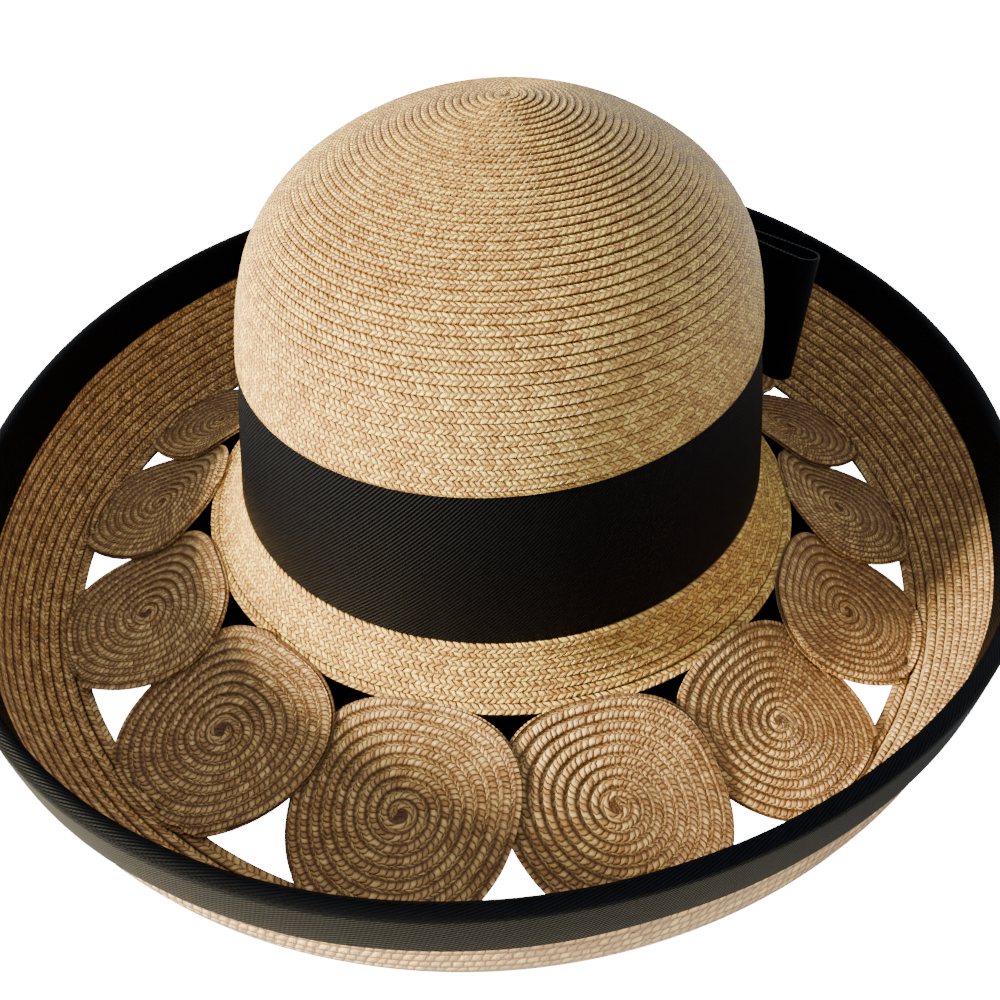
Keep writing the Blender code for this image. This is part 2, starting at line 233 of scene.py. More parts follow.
def normalsOf(points):
    along = np.gradient(points, axis=0)
    across = np.gradient(points, axis=1)
    seam = points[:, 1] - points[:, -2]
    across[:, 0] = across[:, -1] = seam / 2
    normal = np.cross(along, across)
    return normal / np.maximum(np.linalg.norm(normal, axis=2, keepdims=True), 1e-12)


def sewRows(name, surface, rows, sides, stitches, relief=None, spiral=False, heart=None):
    # surface(rowPlace, turn) gives the base place; rows of braid are raised from it along its normal
    section = braid["section"]
    steps = len(section)
    relief = braid["relief"] if relief is None else relief
    count = rows * steps
    base = np.zeros((count + 1, sides + 1, 3))
    height = np.zeros((count + 1, 1, 1))
    for j in range(count + 1):
        row, step = divmod(j, steps)
        for i in range(sides + 1):
            turn = i / sides
            place = row + section[step][0] + (turn if spiral else 0.0)
            base[j, i] = surface(place, turn)
        height[j] = section[step][1] * relief * (smoothStep(-0.5, 2.0, j / steps) if spiral else 1.0)
    normal = normalsOf(base)
    points = base + normal * height
    fractions = [share for share, _ in section] + [1.0]

    def braidUv(row, column, faceRow):
        own = faceRow // steps
        across = np.array(fractions)[row - own * steps]
        return np.stack([stitches(own, column / sides), own + across], axis=1)

    return gridPiece(name, points, braidUv, heart)


# Materials

def addNode(tree, kind, **values):
    made = tree.nodes.new(kind)
    for key, value in values.items():
        setattr(made, key, value)
    return made


def mathNode(tree, operation, *values):
    made = addNode(tree, "ShaderNodeMath", operation=operation)
    for socket, value in zip(made.inputs, values):
        if isinstance(value, (int, float)):
            socket.default_value = value
        else:
            tree.links.new(value, socket)
    return made.outputs[0]


def newGroup(name, inputs, outputs):
    group = bpy.data.node_groups.new(name, "ShaderNodeTree")
    for label, kind, value in inputs:
        socket = group.interface.new_socket(label, in_out="INPUT", socket_type=kind)
        if value is not None:
            socket.default_value = value
    for label, kind in outputs:
        group.interface.new_socket(label, in_out="OUTPUT", socket_type=kind)
    return group, addNode(group, "NodeGroupInput"), addNode(group, "NodeGroupOutput")


def plaitGroup():
    # plaited straw: u counts stitches along a row, v counts rows
    group, given, result = newGroup(
        "plaitedStraw",
        [("UV", "NodeSocketVector", None), ("Slant", "NodeSocketFloat", 0.7),
         ("Wander", "NodeSocketFloat", 0.2)],
        [("Height", "NodeSocketFloat"), ("Gap", "NodeSocketFloat"), ("Tone", "NodeSocketFloat"),
         ("Fibre", "NodeSocketFloat"), ("Edge", "NodeSocketFloat")])

    def count(operation, *values):
        return mathNode(group, operation, *values)

    def noise(vector, scale, detail):
        made = addNode(group, "ShaderNodeTexNoise", noise_dimensions="2D")
        made.inputs["Scale"].default_value = scale
        made.inputs["Detail"].default_value = detail
        group.links.new(vector, made.inputs["Vector"])
        return made.outputs["Fac"]

    def fromCentre(share):
        return count("ABSOLUTE", count("SUBTRACT", count("MULTIPLY", share, 2.0), 1.0))

    def pair(x, y):
        made = addNode(group, "ShaderNodeCombineXYZ")
        group.links.new(x, made.inputs[0])
        group.links.new(y, made.inputs[1])
        return made.outputs[0]

    def smoothRange(value, low, high, atLow, atHigh):
        made = addNode(group, "ShaderNodeMapRange", interpolation_type="SMOOTHSTEP")
        group.links.new(value, made.inputs["Value"])
        made.inputs["From Min"].default_value = low
        made.inputs["From Max"].default_value = high
        made.inputs["To Min"].default_value = atLow
        made.inputs["To Max"].default_value = atHigh
        return made.outputs["Result"]

    parts = addNode(group, "ShaderNodeSeparateXYZ")
    group.links.new(given.outputs["UV"], parts.inputs[0])
    drift = count("SUBTRACT", noise(given.outputs["UV"], 1.3, 2.0), 0.5)
    wander = count("MULTIPLY", drift, given.outputs["Wander"])
    u = count("ADD", parts.outputs[0], count("MULTIPLY", wander, 4.0))
    v = parts.outputs[1]
    # each row is two lines of slanted straws that meet in its middle
    inRow = count("FRACT", v)
    edge = fromCentre(inRow)
    doubled = count("MULTIPLY", v, 2.0)
    halfRow = count("FLOOR", doubled)
    inHalf = count("FRACT", doubled)
    side = count("FLOOR", count("MULTIPLY", inRow, 2.0))
    slanted = count("ADD", u, count("MULTIPLY", edge, given.outputs["Slant"]))
    slanted = count("ADD", slanted, count("MULTIPLY", side, 0.5))
    inStitch = count("FRACT", slanted)
    stitch = count("FLOOR", slanted)
    along = count("SUBTRACT", 1.0, count("POWER", fromCentre(inStitch), 2.4))
    across = count("SUBTRACT", 1.0, count("POWER", fromCentre(inHalf), 3.0))
    hump = count("MULTIPLY", along, count("ADD", count("MULTIPLY", across, 0.6), 0.4))
    chance = addNode(group, "ShaderNodeTexWhiteNoise", noise_dimensions="2D")
    group.links.new(pair(stitch, halfRow), chance.inputs["Vector"])
    tone = chance.outputs["Value"]
    fibre = noise(pair(count("MULTIPLY", slanted, 9.0), count("MULTIPLY", doubled, 0.9)), 1.0, 2.0)
    height = count("ADD", hump, count("MULTIPLY", fibre, 0.30))
    height = count("ADD", height, count("MULTIPLY", tone, 0.45))
    # Gap and Edge mark where the straw gets painted shade: between stitches and along the edges of each row
    gap = smoothRange(hump, 0.0, 0.62, 1.0, 0.0)
    rowEdge = smoothRange(edge, 0.72, 1.0, 0.0, 1.0)
    for value, label in ((height, "Height"), (gap, "Gap"), (tone, "Tone"),
                         (fibre, "Fibre"), (rowEdge, "Edge")):
        group.links.new(value, result.inputs[label])
    return group


def strawMaterial(name, group, values):
    material = bpy.data.materials.new(name)
    material.use_nodes = True
    tree = material.node_tree
    shader = tree.nodes["Principled BSDF"]
    place = addNode(tree, "ShaderNodeTexCoord")
    plait = addNode(tree, "ShaderNodeGroup", node_tree=group)
    tree.links.new(place.outputs["UV"], plait.inputs["UV"])
    plait.inputs["Slant"].default_value = values["slant"]
    patches = addNode(tree, "ShaderNodeTexNoise")
    patches.inputs["Scale"].default_value = 28.0
    patches.inputs["Detail"].default_value = 3.0
    tree.links.new(place.outputs["Object"], patches.inputs["Vector"])
    shade = mathNode(tree, "MULTIPLY", plait.outputs["Tone"], 0.42)
    shade = mathNode(tree, "ADD", shade, mathNode(tree, "MULTIPLY", plait.outputs["Fibre"], 0.38))
    shade = mathNode(tree, "ADD", shade, mathNode(tree, "MULTIPLY", patches.outputs["Fac"], 0.30))
    ramp = addNode(tree, "ShaderNodeValToRGB")
    tree.links.new(shade, ramp.inputs["Fac"])
    stops = ramp.color_ramp.elements
    stops[0].position, stops[1].position = 0.25, 0.82
    stops[0].color = (*values["dark"], 1.0)
    stops[1].color = (*values["light"], 1.0)
    middle = stops.new(0.52)
    middle.color = (*values["middle"], 1.0)
    # painted shade: the straw colour is mixed towards a dark colour between stitches and at the row edges,
    # where shade falls in the gaps and grooves
    paintedGapShade = mathNode(tree, "MULTIPLY", plait.outputs["Gap"], values["gapShade"])
    paintedEdgeShade = mathNode(tree, "MULTIPLY", plait.outputs["Edge"], values["edgeShade"])
    hollowShade = mathNode(tree, "MAXIMUM", paintedGapShade, paintedEdgeShade)
    mix = addNode(tree, "ShaderNodeMix", data_type="RGBA")
    tree.links.new(hollowShade, mix.inputs["Factor"])
    tree.links.new(ramp.outputs["Color"], mix.inputs["A"])
    mix.inputs["B"].default_value = (*values["hollowShade"], 1.0)
    tree.links.new(mix.outputs["Result"], shader.inputs["Base Color"])
    dull = mathNode(tree, "MULTIPLY", plait.outputs["Tone"], 0.22)
    rough = mathNode(tree, "ADD", dull, values["roughness"])
    tree.links.new(rough, shader.inputs["Roughness"])
    bump = addNode(tree, "ShaderNodeBump")
    bump.inputs["Strength"].default_value = values["bump"]
    bump.inputs["Distance"].default_value = values["depth"]
    tree.links.new(plait.outputs["Height"], bump.inputs["Height"])
    tree.links.new(bump.outputs["Normal"], shader.inputs["Normal"])
    shader.inputs["Specular IOR Level"].default_value = 0.34
    return material


def ribGroup():
    # fine ribs of a ribbon: u and v in millimetres, the ribs lean across it
    group, given, result = newGroup(
        "ribbonRibs",
        [("UV", "NodeSocketVector", None), ("Lean", "NodeSocketFloat", 0.55),
         ("Pitch", "NodeSocketFloat", 0.9)],
        [("Height", "NodeSocketFloat"), ("Thread", "NodeSocketFloat")])
    parts = addNode(group, "ShaderNodeSeparateXYZ")
    group.links.new(given.outputs["UV"], parts.inputs[0])
    u, v = parts.outputs[0], parts.outputs[1]
    leaned = mathNode(group, "SUBTRACT", v, mathNode(group, "MULTIPLY", u, given.outputs["Lean"]))
    turns = mathNode(group, "MULTIPLY", leaned, 2 * math.pi)
    turns = mathNode(group, "DIVIDE", turns, given.outputs["Pitch"])
    waves = mathNode(group, "MULTIPLY", mathNode(group, "SINE", turns), 0.5)
    weave = mathNode(group, "SINE", mathNode(group, "MULTIPLY", mathNode(group, "ADD", u, v), 14.0))
    height = mathNode(group, "ADD", waves, mathNode(group, "MULTIPLY", weave, 0.12))
    noise = addNode(group, "ShaderNodeTexNoise", noise_dimensions="2D")
    noise.inputs["Scale"].default_value = 0.35
    noise.inputs["Detail"].default_value = 4.0
    group.links.new(given.outputs["UV"], noise.inputs["Vector"])
    group.links.new(height, result.inputs["Height"])
    group.links.new(noise.outputs["Fac"], result.inputs["Thread"])
    return group


def ribbonMaterial(name, group, values):
    material = bpy.data.materials.new(name)
    material.use_nodes = True
    tree = material.node_tree
    shader = tree.nodes["Principled BSDF"]
    place = addNode(tree, "ShaderNodeTexCoord")
    ribs = addNode(tree, "ShaderNodeGroup", node_tree=group)
    tree.links.new(place.outputs["UV"], ribs.inputs["UV"])
    ribs.inputs["Lean"].default_value = values["lean"]
    ribs.inputs["Pitch"].default_value = values["pitch"]
    # the colour is darker in the hollows between ribs and lighter on their crests: painted shade and painted
    # highlight on the ribs; the thread noise is the ribbon's own uneven tone
    thread = mathNode(tree, "MULTIPLY", ribs.outputs["Thread"], 0.7)
    shade = mathNode(tree, "ADD", mathNode(tree, "MULTIPLY", ribs.outputs["Height"], 0.9), thread)
    ramp = addNode(tree, "ShaderNodeValToRGB")
    tree.links.new(shade, ramp.inputs["Fac"])
    stops = ramp.color_ramp.elements
    stops[0].position, stops[1].position = 0.2, 0.85
    stops[0].color = (*values["dark"], 1.0)
    stops[1].color = (*values["light"], 1.0)
    tree.links.new(ramp.outputs["Color"], shader.inputs["Base Color"])
    shader.inputs["Roughness"].default_value = values["roughness"]
    shader.inputs["Specular IOR Level"].default_value = values["gloss"]
    bump = addNode(tree, "ShaderNodeBump")
    bump.inputs["Strength"].default_value = values["bump"]
    bump.inputs["Distance"].default_value = 0.0003
    tree.links.new(ribs.outputs["Height"], bump.inputs["Height"])
    tree.links.new(bump.outputs["Normal"], shader.inputs["Normal"])
    return material


plait = plaitGroup()
ribs = ribGroup()
# the dark colour and the two shade strengths in each table set the painted shade between stitches and in the
# grooves between rows
crownStraw = strawMaterial("crownStraw", plait, {
    "dark": (0.36, 0.168, 0.048), "middle": (0.62, 0.352, 0.096), "light": (0.98, 0.68, 0.170),
    "hollowShade": (0.100, 0.038, 0.010), "gapShade": 0.70, "edgeShade": 0.88, "slant": 0.62, "roughness": 0.26,
    "bump": 1.0, "depth": 0.0010})
brimStraw = strawMaterial("brimStraw", plait, {
    "dark": (0.29, 0.138, 0.052), "middle": (0.52, 0.295, 0.118), "light": (0.86, 0.57, 0.225),
    "hollowShade": (0.085, 0.031, 0.009), "gapShade": 0.78, "edgeShade": 0.95, "slant": 0.62, "roughness": 0.34,
    "bump": 1.0, "depth": 0.0009})
bandRibbon = ribbonMaterial("bandRibbon", ribs, {
    "dark": (0.0001, 0.0001, 0.0003), "light": (0.0022, 0.0034, 0.0090), "roughness": 0.46, "bump": 0.9,
    "lean": 0.936, "pitch": 1.245, "gloss": 0.05})
rimRibbon = ribbonMaterial("rimRibbon", ribs, {
    "dark": (0.0002, 0.0003, 0.0008), "light": (0.0014, 0.0019, 0.0046), "roughness": 0.50, "bump": 0.5,
    "lean": -0.51, "pitch": 1.01, "gloss": 0.03})
print("materials ready")


# Crown

crown = {
    "rings": ((0.000, 0.905, 0.993), (0.125, 0.892, 0.979), (0.286, 0.866, 0.949), (0.447, 0.820, 0.899),
              (0.608, 0.729, 0.802), (0.732, 0.612, 0.673), (0.839, 0.468, 0.515), (0.929, 0.288, 0.317),
              (0.978, 0.142, 0.156), (1.0, 0.0, 0.0)),
    "rows": 46,
    "stitch": 0.0018,
    "sides": 220,
    "wallRows": 16,
    "wallSides": 160,
}


def leanAt(height):
    return hat["lean"] * (height / hat["crownHeight"]) ** 2


def domeLine():
    # (half length, height, half width) from the apex down to the lip over the band
    dome = hat["crownHeight"] - hat["bandHeight"]
    rows = [(long * hat["length"] / 2, hat["bandHeight"] + share * dome, wide * hat["width"] / 2)
            for share, wide, long in crown["rings"]]
    rows = rows[::-1]
    mirrored = [(-rows[1][0], rows[1][1], -rows[1][2])] + rows
    dense = [smoothRow(mirrored, 1 + (len(rows) - 1) * i / 800) for i in range(801)]
    return evenly(dense, 800)


domePoints = domeLine()


def domeSurface(place, turn):
    share = min(place / crown["rows"], 1.0) * (len(domePoints) - 1)
    i = min(int(share), len(domePoints) - 2)
    long, height, wide = domePoints[i] + (domePoints[i + 1] - domePoints[i]) * (share - i)
    return ovalPoint(math.pi + 2 * math.pi * turn, wide, long, hat["foot"] + height, leanAt(height))


def coilCount(rows, radiusAt, stitch, start=0.0):
    # stitches along a coil, sewn from the middle out, by row and turn
    lengths = [2 * math.pi * radiusAt(row + 0.5) for row in range(rows + 1)]
    marks = np.concatenate([[0.0], np.cumsum(lengths)]) / stitch + start
    return lambda row, turn: marks[row] + (marks[row + 1] - marks[row]) * turn


def ringCount(rows, radiusAt, stitch):
    # whole stitches round each ring, so that a ring closes on itself
    counts = np.array([round(2 * math.pi * radiusAt(row + 0.5) / stitch) for row in range(rows)])
    return lambda row, turn: counts[row] * turn + 0.37 * row


def radiusOf(surface):
    def radiusAt(place):
        front, side = (surface(place, turn) - headCentre for turn in (0.5, 0.25))
        return (front.xy.length + side.xy.length) / 2
    return radiusAt


apex = domeSurface(0.0, 0.0)
dome = sewRows("crownDome", domeSurface, crown["rows"], crown["sides"],
               coilCount(crown["rows"], radiusOf(domeSurface), crown["stitch"]), spiral=True,
               heart=(apex, 0.004))
finishPiece(dome, crownStraw, "straw_braid", "crown", thickness=braid["thickness"])


def wallSurface(place, turn):
    # the crown's side behind the ribbon
    height = hat["bandHeight"] * (1 - place / crown["wallRows"])
    share = height / hat["bandHeight"]
    inset = hat["ribbon"] + hat["gap"] + braid["relief"]
    wide = hat["width"] / 2 * (1 + (crown["rings"][0][1] - 1) * share) - inset
    long = hat["length"] / 2 * (1 + (crown["rings"][0][2] - 1) * share) - inset
    return ovalPoint(math.pi + 2 * math.pi * turn, wide, long, hat["foot"] + height, leanAt(height))


wall = sewRows("crownWall", wallSurface, crown["wallRows"], crown["wallSides"],
               ringCount(crown["wallRows"], radiusOf(wallSurface), crown["stitch"]))
finishPiece(wall, crownStraw, "straw_braid", thickness=braid["thickness"])


# Brim

collar = {"rows": 8, "stitch": 0.0021, "sides": 288, "under": 0.0035, "relief": 0.0007}
outerBrim = {"rows": 15, "stitch": 0.0020, "sides": 340, "relief": 0.0007}
keptLines = {}


def lineAt(kind, azimuth):
    # evenly spaced points of a brim line, kept once made
    key = (kind, round(azimuth, 5))
    if key not in keptLines:
        if kind == "collar":
            rows = innerLine(azimuth)[1:]
            rows = [(-collar["under"], rows[0][1])] + rows
        else:
            rows = outerLine(azimuth)
        keptLines[key] = smoothLine(rows, 60)
    return keptLines[key]


def brimSurface(kind, rows):
    def surface(place, turn):
        azimuth = math.pi + 2 * math.pi * turn
        line = lineAt(kind, azimuth)
        share = min(place / rows, 1.0) * (len(line) - 1)
        i = min(int(share), len(line) - 2)
        out, z = line[i] + (line[i + 1] - line[i]) * (share - i)
        return brimPoint(azimuth, out, z)
    return surface


collarSurface = brimSurface("collar", collar["rows"])
collarStitches = ringCount(collar["rows"], radiusOf(collarSurface), collar["stitch"])
inner = sewRows("innerBrim", collarSurface, collar["rows"], collar["sides"], collarStitches,
                relief=collar["relief"])
finishPiece(inner, crownStraw, "straw_braid", "inner_brim", thickness=braid["thickness"])

rimSurface = brimSurface("outer", outerBrim["rows"])
rimStitches = ringCount(outerBrim["rows"], radiusOf(rimSurface), outerBrim["stitch"])
outer = sewRows("outerBrim", rimSurface, outerBrim["rows"], outerBrim["sides"], rimStitches,
                relief=outerBrim["relief"])
finishPiece(outer, brimStraw, "straw_braid", "outer_brim", thickness=hat["straw"])


# Coiled discs

discs = {
    "count": 15,
    "first": 0.010,
    "frontSpread": 0.07,
    "sideLap": 0.0026,
    "edgeLap": 0.0045,
    "outward": 0.0025,
    "square": 2.3,
    "lowest": 2,
    "rows": 10,
    "stitch": 0.0015,
    "sides": 104,
    "lift": 0.0019,
    "seat": 0.0012,
    "turnEach": 2.4,
    "apart": 997.0,
    "heart": 0.006,
}


def openLine(azimuth):
    # the layer that the discs lie on, from the collar's edge over the open middle to the trough and its slope
    return innerLine(azimuth)[-3:] + [station(azimuth, brim["middle"])] + outerLine(azimuth)[:4]


def openMarks(azimuth):
    key = ("open", round(azimuth, 5))
    if key not in keptLines:
        rows = openLine(azimuth)
        dense = np.array([smoothRow(rows, (len(rows) - 1) * i / 70) for i in range(71)])
        marks = runLengths(dense)
        keptLines[key] = (dense, marks, marks[20], marks[40])
    return keptLines[key]


def layerPoint(azimuth, across, lift):
    dense, marks, innerMark, outerMark = openMarks(azimuth)
    place = min(max((innerMark + outerMark) / 2 + across, 0.0), marks[-1] - 1e-6)
    i = int(np.searchsorted(marks, place, side="right")) - 1
    share = (place - marks[i]) / (marks[i + 1] - marks[i])
    (outA, zA), (outB, zB) = dense[i], dense[i + 1]
    length = math.hypot(outB - outA, zB - zA)
    out = outA + (outB - outA) * share - (zB - zA) / length * lift
    z = zA + (zB - zA) * share + (outB - outA) / length * lift
    return brimPoint(azimuth, out, z)


def perRadian(azimuth, across):
    step = 0.01
    ahead, behind = layerPoint(azimuth + step, across, 0.0), layerPoint(azimuth - step, across, 0.0)
    return (ahead - behind).length / (2 * step)


keptWidths = {}


def perRadianKept(number, centre, across):
    key = (number, round(across, 4))
    if key not in keptWidths:
        keptWidths[key] = perRadian(centre, across)
    return keptWidths[key]


def discAzimuths():
    steps = 720
    walk = [layerPoint(2 * math.pi * i / steps, 0.0, 0.0) for i in range(steps + 1)]
    marks = np.concatenate([[0.0], np.cumsum([(b - a).length for a, b in zip(walk, walk[1:])])])
    centres = []
    for k in range(discs["count"]):
        share = discs["first"] + k / discs["count"]
        share += discs["frontSpread"] * math.sin(2 * math.pi * k / discs["count"]) / (2 * math.pi)
        walked = share % 1.0 * marks[-1]
        centres.append(float(np.interp(walked, marks, np.linspace(0, 2 * math.pi, steps + 1))))
    return centres


def coilDisc(number, centre, pitch, sides):
    # sides holds +1 and -1 for the neighbours that this disc lies over
    halfSpan = pitch / 2 + discs["sideLap"]
    dense, marks, innerMark, outerMark = openMarks(centre)
    halfDepth = (outerMark - innerMark) / 2 + discs["edgeLap"]
    power = 2 / discs["square"]
    rows = discs["rows"]
    startAngle = discs["turnEach"] * number

    def surface(place, turn):
        share = min(place / rows, 1.0)
        angle = startAngle + 2 * math.pi * turn
        c, s = math.cos(angle), math.sin(angle)
        blend = power + (1 - power) * (1 - share)
        along = share * halfSpan * math.copysign(abs(c) ** blend, c)
        across = discs["outward"] + share * halfDepth * math.copysign(abs(s) ** blend, s)
        lift = discs["seat"]
        for side in sides:
            lift += discs["lift"] * smoothStep(0.25, 0.92, side * along / halfSpan)
        azimuth = centre + along / perRadianKept(number, centre, across)
        return layerPoint(azimuth, across, lift)

    def radiusAt(place):
        return place / rows * (halfSpan + halfDepth) / 2

    name, node = "disc%02d" % number, "medallion_%02d" % number
    stitches = coilCount(rows, radiusAt, discs["stitch"], discs["apart"] * number)
    piece = sewRows(name, surface, rows, discs["sides"], stitches, spiral=True,
                    heart=(surface(0.0, 0.0), discs["heart"]))
    return finishPiece(piece, brimStraw, "straw_braid", node, thickness=braid["thickness"])


centres = discAzimuths()
total = discs["count"]
rank = [min((k - discs["lowest"]) % total, (discs["lowest"] - k) % total) for k in range(total)]
for k, centre in enumerate(centres):
    after, before = (k + 1) % total, (k - 1) % total
    pitch = ((centres[after] - centres[before]) % (2 * math.pi)) / 2 * perRadian(centre, 0.0)
    over = [side for side, other in ((1, after), (-1, before)) if (rank[other], other) < (rank[k], k)]
    coilDisc(k + 1, centre, pitch, over)


# Ribbons

band = {
    "sides": 220,
    "rows": 12,
    "proud": 0.0003,
    "thickness": 0.0008,
    "ribbonLength": 563.0,
    "ribbonWidth": 47.4,
}


def bandPiece():
    points = np.zeros((band["rows"] + 1, band["sides"] + 1, 3))
    for j in range(band["rows"] + 1):
        share = j / band["rows"]
        height = hat["gap"] + (hat["bandHeight"] - 2 * hat["gap"]) * (1 - share)
        slope = height / hat["bandHeight"]
        puff = band["proud"] * math.sin(math.pi * share)
        for i in range(band["sides"] + 1):
            turn = i / band["sides"]
            azimuth = math.pi + 2 * math.pi * turn
            loose = puff * (1 + 0.5 * math.sin(5 * azimuth + 1.0))
            wide = hat["width"] / 2 * (1 + (crown["rings"][0][1] - 1) * slope) + loose
            long = hat["length"] / 2 * (1 + (crown["rings"][0][2] - 1) * slope) + loose
            points[j, i] = ovalPoint(azimuth, wide, long, hat["foot"] + height, leanAt(height))

    def uv(row, column, faceRow):
        u = column / band["sides"] * band["ribbonLength"]
        v = -row / band["rows"] * band["ribbonWidth"]
        return np.stack([u, v], axis=1)

    return gridPiece("hatBand", points, uv)


finishPiece(bandPiece(), bandRibbon, "grosgrain_ribbon", "hat_band", thickness=band["thickness"])

binding = {
    "sides": 320,
    "width": 0.0145,
    "outerWidth": 0.0125,
    "inside": 0.0013,
    "outside": 0.0027,
    "edge": 0.0013,
    "thickness": 0.0006,
    "folds": 9,
    "ribbonLength": 1030.0,
    "foldWidth": 1.55,
}


def bindingPiece():
    count = binding["folds"]
    columns = []
    for i in range(binding["sides"] + 1):
        azimuth = math.pi + 2 * math.pi * i / binding["sides"]
        line = lineAt("outer", azimuth)
        lengths = runLengths(line)
        wobble = 0.00035 * math.sin(9 * azimuth) + 0.0002 * math.sin(23 * azimuth + 1.0)
        sections = []
        for width, k in [(binding[side], k) for side in ("width", "outerWidth") for k in range(count + 1)]:
            mark = lengths[-1] - (width + wobble) * (1 - k / count)
            out, z = np.interp(mark, lengths, line[:, 0]), np.interp(mark, lengths, line[:, 1])
            behind = mark - 0.001
            runOut = out - np.interp(behind, lengths, line[:, 0])
            runZ = z - np.interp(behind, lengths, line[:, 1])
            length = math.hypot(runOut, runZ)
            sections.append((out, z, runOut / length, runZ / length))
        near, far = sections[:count + 1], sections[count + 1:]
        inside = [(out - tz * binding["inside"], z + tx * binding["inside"]) for out, z, tx, tz in near]
        outside = [(out + tz * binding["outside"], z - tx * binding["outside"]) for out, z, tx, tz in far]
        out, z, tx, tz = near[-1]
        middle = (binding["inside"] - binding["outside"]) / 2
        half = (binding["inside"] + binding["outside"]) / 2
        fold = []
        for angle in (30, 60, 90, 120, 150):
            c, s = math.cos(math.radians(angle)), math.sin(math.radians(angle))
            side, up = middle + half * c, binding["edge"] * s
            fold.append((out - tz * side + tx * up, z + tx * side + tz * up))
        columns.append([brimPoint(azimuth, *spot) for spot in inside + fold + outside[::-1]])
    points = np.array([[list(spot) for spot in column] for column in columns]).transpose(1, 0, 2)

    def uv(row, column, faceRow):
        u = column / binding["sides"] * binding["ribbonLength"]
        return np.stack([u, row * binding["foldWidth"]], axis=1)

    return gridPiece("rimBinding", points, uv)


finishPiece(bindingPiece(), rimRibbon, "grosgrain_ribbon", "brim_binding", thickness=binding["thickness"])

bow = {
    "azimuth": math.radians(150),
    "length": 0.057,
    "depth": 0.009,
    "height": 0.0455,
    "lift": 0.02725,
    "knotWidth": 0.019,
    "knotDepth": 0.0085,
    "knotHeight": 0.040,
    "knotLevels": ((-0.50, 0.80), (-0.42, 0.96), (0.0, 1.0), (0.42, 0.96), (0.50, 0.80)),
    "thickness": 0.0008,
    "steps": 14,
    "levels": 12,
    "ribbonLength": 105.0,
    "ribbonWidth": 45.5,
    "knotRibbon": (40.0, 50.0),
}


def bandPoint(azimuth, height):
    slope = height / hat["bandHeight"]
    wide = hat["width"] / 2 * (1 + (crown["rings"][0][1] - 1) * slope)
    long = hat["length"] / 2 * (1 + (crown["rings"][0][2] - 1) * slope)
    return ovalPoint(azimuth, wide, long, hat["foot"] + height, leanAt(height))


def knotCentre(height):
    out = outward(bow["azimuth"])
    base = bandPoint(bow["azimuth"], bow["lift"])
    towards = (bandPoint(bow["azimuth"], height) - base).dot(out)
    rise = Vector((0.0, 0.0, height - bow["lift"]))
    return base + rise + out * (towards + hat["gap"] + bow["knotDepth"] / 2)


def loopPiece(name, side):
    out = outward(bow["azimuth"])
    along = Vector((-out.y, out.x, 0.0))
    start = bow["knotWidth"] / 2 - 0.001
    radius = bow["depth"] / 2 - hat["ribbon"] / 2
    straight = bow["length"] - start - bow["depth"] / 2
    pinch = (bow["knotDepth"] - 3 * hat["ribbon"]) / 2 - 0.001
    steps = bow["steps"]
    path = []
    for i in range(steps + 1):
        share = i / steps
        path.append((start + straight * share, -(pinch + (radius - pinch) * smoothStep(0, 1, share)), share))
    for i in range(1, 8):
        angle = -math.pi / 2 + math.pi * i / 8
        path.append((start + straight + radius * math.cos(angle), radius * math.sin(angle), 1.0))
    for i in range(steps, -1, -1):
        share = i / steps
        path.append((start + straight * share, pinch + (radius - pinch) * smoothStep(0, 1, share), share))
    levels = bow["levels"]
    points = np.zeros((levels + 1, len(path), 3))
    for k in range(levels + 1):
        level = 1 - 2 * k / levels
        for i, (x, y, share) in enumerate(path):
            flare = (bow["height"] - bow["knotHeight"]) * min(share * 2, 1) ** 0.5
            half = (bow["knotHeight"] + flare) / 2
            crease = 0.0006 * (1 - share) * math.cos(9 * level)
            spot = knotCentre(bow["lift"]) + along * side * x + out * (y + crease)
            points[k, i] = spot + Vector((0.0, 0.0, half * level))

    def uv(row, column, faceRow):
        u = column / (len(path) - 1) * bow["ribbonLength"]
        return np.stack([u, -row / levels * bow["ribbonWidth"]], axis=1)

    return gridPiece(name, points, uv)


for name, side, node in (("bowLoopLeft", 1, "bow_loop_left"), ("bowLoopRight", -1, "bow_loop_right")):
    loop = loopPiece(name, side)
    applyModifier(loop, "SOLIDIFY", thickness=bow["thickness"], offset=0.0)
    finishPiece(loop, bandRibbon, "grosgrain_ribbon", node)


def knotPiece():
    out = outward(bow["azimuth"])
    along = Vector((-out.y, out.x, 0.0))
    levels = 16
    corners = 40
    points = np.zeros((levels + 3, corners + 1, 3))
    for k in range(levels + 3):
        place = min(max(k - 1, 0), levels) / levels * 4
        level, width = smoothRow(bow["knotLevels"], place)
        closing = 0.0 if k in (0, levels + 2) else 1.0
        centre = knotCentre(bow["lift"] - level * bow["knotHeight"])
        for i in range(corners + 1):
            angle = 2 * math.pi * i / corners
            c, s = math.cos(angle), math.sin(angle)
            crease = 1 + 0.035 * math.cos(7 * angle) * (1 - abs(level))
            x = bow["knotWidth"] / 2 * width * math.copysign(abs(c) ** 0.5, c) * closing * crease
            y = bow["knotDepth"] / 2 * width * math.copysign(abs(s) ** 0.5, s) * closing
            points[k, i] = centre + along * x + out * y

    def uv(row, column, faceRow):
        tall, wrapped = bow["knotRibbon"]
        return np.stack([row / (levels + 2) * tall, column / corners * wrapped], axis=1)

    return gridPiece("bowKnot", points, uv)


finishPiece(knotPiece(), bandRibbon, "grosgrain_ribbon", "bow_knot")


# Floor, light and camera

